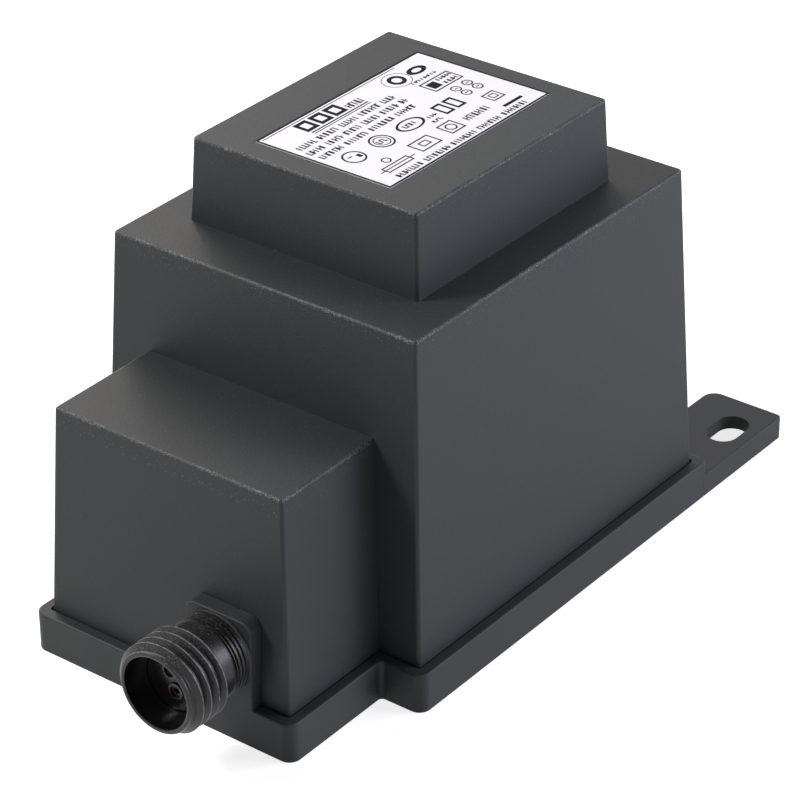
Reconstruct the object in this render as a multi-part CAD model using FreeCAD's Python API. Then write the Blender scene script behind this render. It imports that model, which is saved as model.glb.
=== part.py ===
import FreeCAD, Part
import math
import os

from FreeCAD import Vector

os.makedirs("parts", exist_ok=True)

# Low-voltage lighting transformer in a stepped moulded housing, in millimetres.
# X runs across the housing, Y from the output socket (front) to the mounting ears (back), Z up.
# The origin is on the underside of the base, at the middle of the main block.

# Iron core: scrapless EI lamination, all of its widths follow the outer limb
limb = 14.0
stack_height = 43.5
core_hole_r = 2.25

# Cover walls and clearances
wall = 3.0
draft = math.tan(math.radians(2.6))
core_side_gap = 0.2
core_end_gap = 1.0
main_headroom = 3.4
corner_r = 0.8
edge_bevel = 0.4

# Step over the coil
coil_side_gap = 4.4
coil_end_gap = 1.4
coil_headroom = 8.5
coil_step_y = -0.15

# Lower block at the front
front_width = 58.0
front_reach = 29.6
front_height = 56.7

# Base tray
floor = 3.0
rim_height = 9.0
ledge = 2.75
seat_gap = 0.15
rim_corner_r = 2.6
rim_back_corner_r = 1.5
rim_notch_r = 1.0
rim_bevel = 0.4
post_height = 27.8
post_width = 10.6
rib_height = 3.0
rib_width = 2.0

# Mounting ears with slotted holes
ear_width = 19.2
ear_reach = 31.1
ear_thickness = 5.4
ear_plate = 3.2
ear_rim = 2.2
ear_inner_r = 3.3
ear_outer_r = 1.2
slot_width = 7.4
slot_length = 11.8
slot_edge = 6.7
slot_end = 12.4

# Saddle that carries the output socket
socket_x = 16.0
socket_z = 20.2
saddle_width = 16.4
saddle_rise = 8.7
saddle_corner_r = 2.3
saddle_slot_r = 7.6
saddle_slot_gap = 0.2
saddle_plate = 2.5
saddle_plate_half = 9.5
saddle_plate_gap = 0.3

# Output socket: sizes along its axis count from the saddle's face
nose_length = 18.8
lip_length = 1.0
lip_r = 8.9
lip_bevel = 0.4
sleeve_r = 10.1
sleeve_length = 9.4
neck_r = 8.3
flange_r = 8.8
flange_end = 4.7
socket_bore_r = 7.85
socket_bore_depth = 5.0
socket_bevel = 0.3
insert_r = 6.8
insert_back = 4.0
insert_sink = 0.5
stem_r = 6.0
stem_bore_r = 4.6
stem_tail = 1.1
stem_gap = 0.05
socket_nut_across = 17.0
socket_nut_height = 3.0
seal_t = 1.0
contact_offset = 2.2
contact_tilt_deg = 18.0
contact_hole_r = 1.25
contact_gap = 0.05
contact_collar = 0.65
contact_recess = 0.6
contact_bore_r = 0.75
contact_bore_depth = 7.0

# Coil former and windings
former_gap = 0.3
former_wall = 1.2
flange_t = 1.5
former_rise = 13.5
coil_edge_gap = 0.7
tape_t = 0.35
coil_corner_r = 9.0
rail_width = 6.0
rail_drop = 2.5
rail_depth = 3.75
pin_width = 0.9
pin_gap = 0.05
pin_length = 4.0
pin_y_near = 6.0
pin_y_far = 14.0
cutout_length = 18.0
cutout_width = 9.0
cutout_height = 4.5
cutout_corner_r = 1.5

# Core screws, down through the laminations into the posts
bolt_r = 2.0
bolt_gap = 0.1
bolt_bite = 12.0
bolt_head_height = 2.8
bolt_across = 7.0

# Cover screws and hooks
screw_y_in = 20.3
screw_r = 1.9
screw_gap = 0.1
screw_head_r = 3.6
screw_head_height = 2.4
screw_recess_r = 4.0
screw_recess = 3.2
screw_bite = 10.0
screw_cross_length = 4.0
screw_cross_width = 1.0
standoff_width = 9.6
standoff_height = 3.0
boss_r = 4.0
boss_gap = 0.2
hook_width = 9.0
hook_height = 1.6
hook_reach = 1.2
hook_x = 33.0
hook_gap = 0.2

# Mains cable inlet
gland_z = 19.5
gland_pad_r = 9.5
gland_pad_out = 0.3
gland_stem_r = 6.1
gland_stem_tail = 1.0
gland_gap = 0.1
gland_across = 16.0
gland_hex_depth = 5.0
gland_dome_depth = 6.0
gland_dome_straight = 1.0
gland_dome_r = 7.4
gland_mouth_r = 5.8
gland_bore_r = 3.6
gland_seal_r = 4.8
gland_seal_length = 9.0
gland_nut_height = 3.0

# Mains terminal block
block_y = 34.0
block_width = 16.0
block_depth = 10.0
block_pole_gap = 7.0
block_port_r = 1.4
block_notch = 1.2
block_screw_r = 1.8
block_screw_length = 4.5
block_screw_gap = 0.05
block_screw_sink = 0.8
block_screw_slot = 0.6

# Internal leads: each is lapped on a pin and runs level or slightly rising to its terminal
lead_r = 0.9
lead_bend = 8.0
lead_lap = 1.5
lead_entry = 3.0
lead_exit = 4.0
lead_turn_y = 22.0

# Blank label
label_width = 34.0
label_length = 53.4
label_x = 0.5
label_y = 0.1
label_t = 0.2
label_recess = 0.1
label_gap = 0.2
label_corner_r = 0.8

# Heights of the stack, from the underside up
core_z0 = floor + post_height
core_z1 = core_z0 + stack_height
core_mid_z = (core_z0 + core_z1) / 2
main_top = core_z1 + main_headroom + wall
coil_top = core_z1 + former_rise + coil_headroom + wall

# Plan of the core and the coil former
core_half_x = 2.5 * limb
core_half_y = 3.0 * limb
window_half_x = 1.5 * limb
bolt_x = core_half_x - limb / 2
bolt_y = core_half_y - limb / 2
former_half_x = window_half_x - former_gap
former_half_y = 2.0 * limb - former_gap
former_half_z = stack_height / 2 + former_rise

# Half sizes of the cover's blocks at their tops
main_half_x = core_half_x + core_side_gap + wall
main_half_y = core_half_y + core_end_gap + wall
coil_half_x = former_half_x + coil_side_gap + wall
coil_half_y = former_half_y + coil_end_gap + wall
front_half_x = front_width / 2
front_y = -main_half_y - front_reach


def wall_at(half, top, z):
    """Half size of a drafted block at height z."""
    return half + draft * (top - z)


# Base outline: the cover's foot plus the ledge
rim_half_x = wall_at(main_half_x, main_top, rim_height) + ledge
rim_back_y = wall_at(main_half_y, main_top, rim_height) + ledge
rim_front_half_x = wall_at(front_half_x, front_height, rim_height) + ledge
rim_front_y = -wall_at(-front_y, front_height, rim_height) - ledge
ear_end_y = rim_back_y + ear_reach
slot_x = rim_half_x - slot_edge
slot_y = ear_end_y - slot_end
saddle_top = socket_z + saddle_rise
saddle_plate_top = socket_z + saddle_plate_half
saddle_plate_y = -wall_at(-front_y, front_height, saddle_plate_top) + wall + saddle_plate_gap
saddle_back_y = saddle_plate_y + saddle_plate
screw_x = front_half_x - wall - boss_r
screw_y = front_y + screw_y_in
face_depth = nose_length - socket_bore_depth
sleeve_start = nose_length - lip_length - sleeve_length
gland_seat_y = wall_at(main_half_y, main_top, gland_z - gland_pad_r) + gland_pad_out
gland_pad_in = wall_at(main_half_y, main_top, gland_z + gland_pad_r) - wall - gland_pad_out


def rounded_wire(points, radii, z):
    """Closed flat outline at height z, each corner rounded by its own radius."""
    edges = []
    arcs = []
    count = len(points)
    for i in range(count):
        here = Vector(points[i][0], points[i][1], z)
        before = Vector(points[i - 1][0], points[i - 1][1], z)
        after = Vector(points[(i + 1) % count][0], points[(i + 1) % count][1], z)
        to_before = (before - here).normalize()
        to_after = (after - here).normalize()
        half_angle = to_before.getAngle(to_after) / 2
        reach = radii[i] / math.tan(half_angle)
        middle = (to_before + to_after).normalize()
        centre = here + middle * (radii[i] / math.sin(half_angle))
        arcs.append((here + to_before * reach, centre - middle * radii[i], here + to_after * reach))
    for i in range(count):
        start, mid, end = arcs[i]
        edges.append(Part.Arc(start, mid, end).toShape())
        edges.append(Part.LineSegment(end, arcs[(i + 1) % count][0]).toShape())
    return Part.Wire(edges)


def flat_polygon(points, z):
    return Part.makePolygon([Vector(x, y, z) for x, y in points + [points[0]]])


def edges_at(shape, z):
    """Edges that lie at height z."""
    return [e for e in shape.Edges if all(abs(v.Z - z) < 1e-6 for v in e.Vertexes)]


def rect_points(x0, x1, y0, y1):
    return [(x0, y0), (x1, y0), (x1, y1), (x0, y1)]


def prism(points, radii, z0, z1):
    """Straight prism on a rounded outline."""
    face = Part.Face(rounded_wire(points, radii, z0))
    return face.extrude(Vector(0, 0, z1 - z0))


def rounded_box(x0, x1, y0, y1, z0, z1, radius):
    return prism(rect_points(x0, x1, y0, y1), [radius] * 4, z0, z1)


def box(x0, x1, y0, y1, z0, z1):
    return Part.makeBox(x1 - x0, y1 - y0, z1 - z0, Vector(x0, y0, z0))


def disc(x, y, radius, z0, z1):
    return Part.makeCylinder(radius, z1 - z0, Vector(x, y, z0), Vector(0, 0, 1))


def rod_y(x, z, radius, y0, y1):
    return Part.makeCylinder(radius, y1 - y0, Vector(x, y0, z), Vector(0, 1, 0))


def hexagon(x, y, across, z0, z1):
    """Hexagonal prism about a vertical axis, given by its size across flats."""
    corner_r = across / math.sqrt(3)
    points = []
    for i in range(6):
        angle = math.radians(60 * i)
        points.append((x + corner_r * math.cos(angle), y + corner_r * math.sin(angle)))
    return Part.Face(flat_polygon(points, z0)).extrude(Vector(0, 0, z1 - z0))


def square(x, y, width, z0, z1):
    return box(x - width / 2, x + width / 2, y - width / 2, y + width / 2, z0, z1)


def revolve(profile):
    """Turned solid about Z from (radius, height) points."""
    points = [Vector(r, 0, z) for r, z in profile]
    face = Part.Face(Part.makePolygon(points + [points[0]]))
    return face.revolve(Vector(0, 0, 0), Vector(0, 0, 1), 360)


def sharp_block(x0, x1, y0, y1, top, bottom):
    """Block with sharp edges: sizes at its top, walls leaning out downwards."""
    grow = draft * (top - bottom)
    block = Part.makeWedge(x0 - grow, bottom, -y1 - grow, -y1, x0, x1 + grow, top, grow - y0, -y0, x1)
    block.rotate(Vector(0, 0, 0), Vector(1, 0, 0), 90)
    return block


def drafted_block(x0, x1, y0, y1, top, bottom):
    """Moulded block with rounded upright corners and bevelled top edges."""
    block = sharp_block(x0, x1, y0, y1, top, bottom)
    upright = [e for e in block.Edges if abs(e.Vertexes[0].Z - e.Vertexes[1].Z) > 1e-6]
    block = block.makeFillet(corner_r, upright)
    return block.makeChamfer(edge_bevel, edges_at(block, top))


def to_front(shape):
    """Turns a piece made along Z so that it points out of the saddle's face."""
    turned = shape.copy()
    turned.rotate(Vector(0, 0, 0), Vector(1, 0, 0), 90)
    turned.translate(Vector(socket_x, rim_front_y, socket_z))
    return turned


def to_back(shape):
    """Turns a piece made along Z so that it points out of the cable inlet's pad."""
    turned = shape.copy()
    turned.rotate(Vector(0, 0, 0), Vector(1, 0, 0), -90)
    turned.translate(Vector(0, gland_seat_y, gland_z))
    return turned


def make_base():
    """Tray with its rim, posts, saddle and two ears."""
    outline = [
        (-rim_front_half_x, rim_front_y), (rim_front_half_x, rim_front_y),
        (rim_front_half_x, -rim_back_y), (rim_half_x, -rim_back_y),
        (rim_half_x, rim_back_y), (-rim_half_x, rim_back_y),
        (-rim_half_x, -rim_back_y), (-rim_front_half_x, -rim_back_y),
    ]
    radii = [rim_corner_r, rim_corner_r, rim_notch_r, rim_corner_r,
             rim_back_corner_r, rim_back_corner_r, rim_corner_r, rim_notch_r]
    tray = prism(outline, radii, 0, rim_height)
    tray = tray.makeChamfer(rim_bevel, edges_at(tray, rim_height))
    main_x = wall_at(main_half_x, main_top, floor) + seat_gap
    main_y = wall_at(main_half_y, main_top, floor) + seat_gap
    low_x = wall_at(front_half_x, front_height, floor) + seat_gap
    low_y = -wall_at(-front_y, front_height, floor) - seat_gap
    pocket = rounded_box(-main_x, main_x, -main_y, main_y, floor, rim_height, corner_r)
    pocket = pocket.fuse(rounded_box(-low_x, low_x, low_y, 0, floor, rim_height, corner_r))
    tray = tray.cut(pocket)
    tray = tray.fuse([make_ear(side) for side in (-1, 1)])
    tray = tray.cut([hook_pocket(side) for side in (-1, 1)])
    for side in (-1, 1):
        tray = tray.fuse(box(side * bolt_x - rib_width / 2, side * bolt_x + rib_width / 2,
                             -bolt_y, bolt_y, floor, floor + rib_height))
        tray = tray.fuse(square(side * screw_x, screw_y, standoff_width, floor, floor + standoff_height))
    tray = tray.fuse(box(-bolt_x, bolt_x, -bolt_y - rib_width / 2, -bolt_y + rib_width / 2,
                         floor, floor + rib_height))
    for x, y in bolt_places():
        tray = tray.fuse(square(x, y, post_width, floor, core_z0))
    tray = tray.fuse(make_saddle())
    for x, y in bolt_places():
        tray = tray.cut(disc(x, y, bolt_r + bolt_gap, core_z0 - bolt_bite - bolt_gap, core_z0))
    for side in (-1, 1):
        tray = tray.cut(disc(side * screw_x, screw_y, screw_r + screw_gap, screw_recess, floor + standoff_height))
        tray = tray.cut(disc(side * screw_x, screw_y, screw_recess_r, 0, screw_recess))
    return tray.removeSplitter()


def bolt_places():
    return [(sx * bolt_x, sy * bolt_y) for sx in (-1, 1) for sy in (-1, 1)]


def make_ear(side):
    """Mounting ear: a thin plate with a turned-down rim and a slot along Y."""
    inner = (side * (rim_half_x - ear_width), ear_inner_r)
    outer = (side * rim_half_x, ear_outer_r)
    (x0, r0), (x1, r1) = sorted((inner, outer))
    root_y = rim_back_y - ledge / 2
    ear = prism(rect_points(x0, x1, root_y - ear_inner_r, ear_end_y), [r0, r1, r1, r0], 0, ear_thickness)
    ear = ear.cut(box(x0, x1, root_y - ear_inner_r, root_y, 0, ear_thickness))
    pocket = box(x0 + ear_rim, x1 - ear_rim, rim_back_y + ear_rim, ear_end_y - ear_rim,
                 0, ear_thickness - ear_plate)
    ear = ear.cut(pocket)
    x = side * slot_x
    slot_r = slot_width / 2
    straight = slot_length / 2 - slot_r
    slot = box(x - slot_r, x + slot_r, slot_y - straight, slot_y + straight, 0, ear_thickness)
    slot = slot.fuse(disc(x, slot_y - straight, slot_r, 0, ear_thickness))
    slot = slot.fuse(disc(x, slot_y + straight, slot_r, 0, ear_thickness))
    return ear.cut(slot)


def hook_pocket(side):
    """Undercut in the back rim that takes one of the cover's hooks."""
    y0 = wall_at(main_half_y, main_top, floor)
    x0 = side * hook_x - hook_width / 2 - hook_gap
    x1 = side * hook_x + hook_width / 2 + hook_gap
    return box(x0, x1, y0 - wall / 2, y0 + hook_reach + hook_gap, floor, floor + hook_height + 2 * hook_gap)


def make_saddle():
    """Upright that stands in the cover's front slot and takes the output socket."""
    top_y = -wall_at(-front_y, front_height, saddle_top) - seat_gap
    foot_y = -wall_at(-front_y, front_height, 0) - seat_gap
    side = [Vector(0, rim_front_y, 0), Vector(0, rim_front_y, saddle_top),
            Vector(0, top_y, saddle_top), Vector(0, foot_y, 0)]
    face = Part.Face(Part.makePolygon(side + [side[0]]))
    plate = face.extrude(Vector(saddle_width, 0, 0))
    plate.translate(Vector(socket_x - saddle_width / 2, 0, 0))
    corners = [e for e in plate.Edges if abs(e.Vertexes[0].Z - saddle_top) < 1e-6
               and abs(e.Vertexes[1].Z - saddle_top) < 1e-6
               and abs(e.Vertexes[0].X - e.Vertexes[1].X) < 1e-6]
    plate = plate.makeFillet(saddle_corner_r, corners)
    neck_r = saddle_slot_r - saddle_slot_gap
    neck_y0 = rim_front_y + ledge / 2
    neck = rod_y(socket_x, socket_z, neck_r, neck_y0, saddle_back_y)
    neck = neck.fuse(box(socket_x - neck_r, socket_x + neck_r, neck_y0, saddle_back_y, floor, socket_z))
    inner = box(socket_x - saddle_plate_half, socket_x + saddle_plate_half,
                saddle_plate_y, saddle_back_y, floor, saddle_plate_top)
    saddle = plate.fuse([neck, inner])
    return saddle.cut(rod_y(socket_x, socket_z, stem_r + stem_gap, rim_front_y, saddle_back_y))


def make_cover():
    """Stepped cover: main block, step over the coil and lower front block, all drafted."""
    shell = drafted_block(-main_half_x, main_half_x, -main_half_y, main_half_y, main_top, floor)
    step = drafted_block(-coil_half_x, coil_half_x, coil_step_y - coil_half_y, coil_step_y + coil_half_y,
                         coil_top, core_z1)
    low = drafted_block(-front_half_x, front_half_x, front_y, -core_half_y, front_height, floor)
    shell = shell.fuse([step, low])
    front_ceiling = front_height - wall
    room = sharp_block(wall - main_half_x, main_half_x - wall, wall - main_half_y, main_half_y - wall,
                       main_top - wall, floor)
    coil_room = sharp_block(wall - coil_half_x, coil_half_x - wall, coil_step_y - coil_half_y + wall,
                            coil_step_y + coil_half_y - wall, coil_top - wall, core_z1)
    low_room = sharp_block(wall - front_half_x, front_half_x - wall, front_y + wall, -core_half_y,
                           front_ceiling, floor)
    shell = shell.cut(room.fuse([coil_room, low_room]))
    for side in (-1, 1):
        boss = disc(side * screw_x, screw_y, boss_r, floor + standoff_height + boss_gap, front_ceiling)
        pilot = disc(side * screw_x, screw_y, screw_r + screw_gap, floor + standoff_height,
                     screw_recess + screw_bite + standoff_height + boss_gap)
        shell = shell.fuse(boss).cut(pilot)
        shell = shell.fuse(make_hook(side))
    pad = rod_y(0, gland_z, gland_pad_r, gland_pad_in, gland_seat_y)
    shell = shell.fuse(pad).cut(rod_y(0, gland_z, gland_stem_r + gland_gap, gland_pad_in, gland_seat_y))
    slot_front = -wall_at(-front_y, front_height, floor) - wall
    slot = rod_y(socket_x, socket_z, saddle_slot_r, slot_front, front_y + wall)
    slot = slot.fuse(box(socket_x - saddle_slot_r, socket_x + saddle_slot_r, slot_front, front_y + wall,
                         floor, socket_z))
    shell = shell.cut(slot)
    seat = label_plate(label_gap, coil_top - label_recess, coil_top + label_recess)
    return shell.cut(seat).removeSplitter()


def make_hook(side):
    """Hook at the foot of the cover's back wall."""
    y0 = wall_at(main_half_y, main_top, floor)
    return box(side * hook_x - hook_width / 2, side * hook_x + hook_width / 2,
               y0 - wall / 2, y0 + hook_reach, floor + hook_gap, floor + hook_gap + hook_height)


def label_plate(gap, z0, z1):
    return rounded_box(label_x - label_width / 2 - gap, label_x + label_width / 2 + gap,
                       label_y - label_length / 2 - gap, label_y + label_length / 2 + gap,
                       z0, z1, label_corner_r + gap)


def make_label():
    return label_plate(0, coil_top - label_recess, coil_top - label_recess + label_t)


def make_core_e():
    """E laminations as one stack: yoke on the left, three limbs pointing right."""
    yoke_x = -window_half_x
    points = [
        (-core_half_x, -core_half_y), (window_half_x, -core_half_y), (window_half_x, -2 * limb),
        (yoke_x, -2 * limb), (yoke_x, -limb), (window_half_x, -limb), (window_half_x, limb),
        (yoke_x, limb), (yoke_x, 2 * limb), (window_half_x, 2 * limb), (window_half_x, core_half_y),
        (-core_half_x, core_half_y),
    ]
    stack = Part.Face(flat_polygon(points, core_z0)).extrude(Vector(0, 0, stack_height))
    for y in (-bolt_y, bolt_y):
        stack = stack.cut(disc(-bolt_x, y, core_hole_r, core_z0, core_z1))
    return stack


def make_core_i():
    """I laminations that close the E stack."""
    stack = box(window_half_x, core_half_x, -core_half_y, core_half_y, core_z0, core_z1)
    for y in (-bolt_y, bolt_y):
        stack = stack.cut(disc(bolt_x, y, core_hole_r, core_z0, core_z1))
    return stack


def coil_ring(x0, x1, half_y, half_z, radius):
    """Slab round the centre limb's axis, its corners rounded."""
    slab = rounded_box(-half_z, half_z, -half_y, half_y, 0, x1 - x0, radius)
    slab.rotate(Vector(0, 0, 0), Vector(0, 1, 0), 90)
    slab.translate(Vector(x0, 0, core_mid_z))
    return slab


def coil_box(x0, x1, half_y, half_z):
    return box(x0, x1, -half_y, half_y, core_mid_z - half_z, core_mid_z + half_z)


def former_tube():
    """Half sizes of the coil former's tube, across and along the stack."""
    return limb + former_gap + former_wall, stack_height / 2 + former_gap + former_wall


def chamber(side):
    """X span of a winding chamber, left for the primary and right for the secondary."""
    near = side * flange_t / 2
    far = side * (former_half_x - flange_t)
    return min(near, far), max(near, far)


def rail_top():
    return core_mid_z - former_half_z - rail_drop + rail_depth


def make_bobbin():
    """Two-chamber coil former with a pin rail under each end flange."""
    tube_y, tube_z = former_tube()
    former = coil_box(-former_half_x, former_half_x, tube_y, tube_z)
    for x0 in (-former_half_x, -flange_t / 2, former_half_x - flange_t):
        former = former.fuse(coil_box(x0, x0 + flange_t, former_half_y, former_half_z))
    former = former.cut(coil_box(-former_half_x, former_half_x, limb + former_gap, stack_height / 2 + former_gap))
    rail_z0 = core_mid_z - former_half_z - rail_drop
    rail_half_y = pin_y_far + rail_width / 2
    for side in (-1, 1):
        far = side * former_half_x
        near = far - side * rail_width
        former = former.fuse(box(min(far, near), max(far, near), -rail_half_y, rail_half_y,
                                 rail_z0, rail_top()))
    for x, y in pin_places():
        former = former.cut(square(x, y, pin_width + 2 * pin_gap, rail_z0, rail_top()))
    return former.removeSplitter()


def pin_places():
    """Two pins on the primary rail, two on the secondary rail."""
    x = former_half_x - rail_width / 2
    return [(-x, pin_y_near), (-x, pin_y_far), (x, -pin_y_near), (x, -pin_y_far)]


def pin_tip_z():
    return core_mid_z - former_half_z - rail_drop - pin_length


def make_pins():
    return Part.makeCompound([square(x, y, pin_width, pin_tip_z(), rail_top()) for x, y in pin_places()])


def winding_outer():
    """Half sizes over the copper, across and along the stack."""
    return (former_half_y - coil_edge_gap,
            former_half_z - rail_depth + rail_drop - tape_t - coil_edge_gap)


def make_winding(side):
    """Copper winding filling one chamber."""
    x0, x1 = chamber(side)
    tube_y, tube_z = former_tube()
    outer_y, outer_z = winding_outer()
    return coil_ring(x0, x1, outer_y, outer_z, coil_corner_r).cut(coil_box(x0, x1, tube_y, tube_z))


def make_tape(side):
    """Insulating tape wound over one winding."""
    x0, x1 = chamber(side)
    outer_y, outer_z = winding_outer()
    over = coil_ring(x0, x1, outer_y + tape_t, outer_z + tape_t, coil_corner_r + tape_t)
    return over.cut(coil_ring(x0, x1, outer_y, outer_z, coil_corner_r))


def make_cutout():
    """Thermal cut-out lying on the primary winding, under the cover's step."""
    x0, x1 = chamber(-1)
    mid = (x0 + x1) / 2
    z0 = core_mid_z + winding_outer()[1] + tape_t
    return rounded_box(mid - cutout_width / 2, mid + cutout_width / 2, -cutout_length / 2, cutout_length / 2,
                       z0, z0 + cutout_height, cutout_corner_r)


def make_core_screws():
    """Four hexagon-head screws through the corners of the core into the posts."""
    screws = []
    for x, y in bolt_places():
        shank = disc(x, y, bolt_r, core_z0 - bolt_bite, core_z1)
        screws.append(shank.fuse(hexagon(x, y, bolt_across, core_z1, core_z1 + bolt_head_height)))
    return Part.makeCompound(screws)


def make_cover_screws():
    """Two cross-recess screws that hold the cover's front down."""
    screws = []
    head_z = screw_recess - screw_head_height
    reach = screw_cross_length / 2
    half = screw_cross_width / 2
    for side in (-1, 1):
        x = side * screw_x
        shank = disc(x, screw_y, screw_r, screw_recess, screw_recess + standoff_height + screw_bite)
        head = disc(x, screw_y, screw_head_r, head_z, screw_recess)
        cross = box(x - reach, x + reach, screw_y - half, screw_y + half, head_z, head_z + screw_head_height / 2)
        cross = cross.fuse(box(x - half, x + half, screw_y - reach, screw_y + reach,
                               head_z, head_z + screw_head_height / 2))
        screws.append(shank.fuse(head).cut(cross))
    return Part.makeCompound(screws)


def make_socket_shell():
    """Turned nose of the output socket, with its flange, threaded sleeve and clamping stem."""
    back = -stem_depth()
    sleeve_end = nose_length - lip_length
    outer = [(stem_r, back), (stem_r, seal_t), (flange_r, seal_t), (flange_r, flange_end),
             (neck_r, flange_end), (neck_r, sleeve_start), (sleeve_r, sleeve_start), (sleeve_r, sleeve_end),
             (lip_r, sleeve_end), (lip_r, nose_length - lip_bevel), (lip_r - lip_bevel, nose_length)]
    inner = [(socket_bore_r + socket_bevel, nose_length), (socket_bore_r, nose_length - socket_bevel),
             (socket_bore_r, face_depth), (insert_r, face_depth), (insert_r, insert_back),
             (stem_bore_r, insert_back), (stem_bore_r, back)]
    return to_front(revolve(outer + inner))


def stem_depth():
    """Length of the socket's stem behind the saddle's face."""
    return saddle_back_y - rim_front_y + socket_nut_height + stem_tail


def contact_places():
    """Centres of the two contacts on the socket's axis plane."""
    tilt = math.radians(contact_tilt_deg)
    dx = contact_offset * math.sin(tilt)
    dz = contact_offset * math.cos(tilt)
    return [(-dx, dz), (dx, -dz)]


def make_socket_insert():
    """Insulating insert with a collar round each contact hole."""
    front = face_depth - insert_sink
    body = disc(0, 0, insert_r - contact_gap, insert_back, front)
    for x, y in contact_places():
        body = body.fuse(disc(x, y, contact_hole_r + contact_collar, front, face_depth))
    for x, y in contact_places():
        body = body.cut(disc(x, y, contact_hole_r, insert_back, face_depth))
    return to_front(body)


def make_contacts():
    """Two turned contacts, bored to take the plug's pins."""
    contacts = []
    front = face_depth - contact_recess
    for x, y in contact_places():
        body = disc(x, y, contact_hole_r - contact_gap, insert_back, front)
        contacts.append(body.cut(disc(x, y, contact_bore_r, front - contact_bore_depth, front)))
    return to_front(Part.makeCompound(contacts))


def make_socket_seal():
    """Flat seal between the socket's flange and the saddle."""
    ring = disc(0, 0, flange_r, 0, seal_t)
    return to_front(ring.cut(disc(0, 0, stem_r + stem_gap, 0, seal_t)))


def make_socket_nut():
    """Flat hexagonal nut that clamps the socket in the saddle."""
    front = rim_front_y - saddle_back_y
    nut = hexagon(0, 0, socket_nut_across, front - socket_nut_height, front)
    return to_front(nut.cut(disc(0, 0, stem_r + stem_gap, front - socket_nut_height, front)))


def gland_stem_depth():
    return gland_seat_y - gland_pad_in + gland_nut_height + gland_stem_tail


def make_gland_body():
    """Cable inlet: hexagon and dome outside, threaded stem through the cover."""
    back = -gland_stem_depth()
    dome_z = gland_hex_depth + gland_dome_depth
    turned = revolve([(gland_seal_r, back), (gland_stem_r, back), (gland_stem_r, 0), (gland_dome_r, 0),
                      (gland_dome_r, gland_hex_depth + gland_dome_straight), (gland_mouth_r, dome_z),
                      (gland_seal_r, dome_z)])
    collar = hexagon(0, 0, gland_across, 0, gland_hex_depth)
    return to_back(turned.fuse(collar.cut(disc(0, 0, gland_dome_r, 0, gland_hex_depth))))


def make_gland_seal():
    """Rubber sleeve that closes round the cable."""
    dome_z = gland_hex_depth + gland_dome_depth
    sleeve = disc(0, 0, gland_seal_r, dome_z - gland_seal_length, dome_z)
    return to_back(sleeve.cut(disc(0, 0, gland_bore_r, dome_z - gland_seal_length, dome_z)))


def make_gland_nut():
    front = gland_pad_in - gland_seat_y
    nut = hexagon(0, 0, gland_across, front - gland_nut_height, front)
    return to_back(nut.cut(disc(0, 0, gland_stem_r + stem_gap, front - gland_nut_height, front)))


def pin_side(place, side):
    """Axis of a lead lapped on the left or right side of a pin, X and Y."""
    return place[0] + side * (pin_width / 2 + lead_r), place[1]


def lap_height():
    """Height of the leads lapped on the pins."""
    return pin_tip_z() + lead_r


def pole_places():
    """X of the terminal block's two poles: the first one is in line with its pin."""
    near = pin_side(pin_places()[1], 1)[0]
    return near, near + block_pole_gap


def block_span():
    """X and Z span of the terminal block."""
    mid = sum(pole_places()) / 2
    top = lap_height() + lead_r + block_screw_length + block_screw_sink
    return mid - block_width / 2, mid + block_width / 2, top


def make_terminal_block():
    """Two-pole terminal block standing on the floor beside the inlet."""
    x0, x1, top = block_span()
    y0 = block_y - block_depth / 2
    y1 = block_y + block_depth / 2
    mid = (x0 + x1) / 2
    body = box(x0, x1, y0, y1, floor, top)
    body = body.cut(box(mid - block_notch / 2, mid + block_notch / 2, y0, y1, top - block_screw_length, top))
    for x in pole_places():
        body = body.cut(rod_y(x, lap_height(), block_port_r, y0, y1))
        body = body.cut(disc(x, block_y, block_screw_r + block_screw_gap, lap_height(), top))
    return body


def make_terminal_screws():
    """Slotted screws that clamp the leads in the terminal block."""
    screws = []
    foot = lap_height() + lead_r
    head = foot + block_screw_length
    for x in pole_places():
        screw = disc(x, block_y, block_screw_r, foot, head)
        screws.append(screw.cut(box(x - block_screw_r, x + block_screw_r, block_y - block_screw_slot / 2,
                                    block_y + block_screw_slot / 2, head - block_screw_slot, head)))
    return Part.makeCompound(screws)


def make_lead(points):
    """Insulated lead: straight round runs joined by tangent bends."""
    path = [Vector(*p) for p in points]
    start = path[0]
    pieces = []
    for before, here, after in zip(path, path[1:], path[2:]):
        back = (before - here).normalize()
        ahead = (after - here).normalize()
        half_angle = back.getAngle(ahead) / 2
        reach = lead_bend / math.tan(half_angle)
        centre = here + (back + ahead).normalize() * (lead_bend / math.sin(half_angle))
        enter = here + back * reach
        pieces.append(round_run(start, enter))
        section = Part.Face(Part.Wire(Part.makeCircle(lead_r, enter, back * -1)))
        turn = math.degrees(math.pi - 2 * half_angle)
        pieces.append(section.revolve(centre, ahead.cross(back), turn))
        start = here + ahead * reach
    last = round_run(start, path[-1])
    return last.fuse(pieces) if pieces else last


def round_run(start, end):
    return Part.makeCylinder(lead_r, (end - start).Length, start, end - start)


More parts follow.
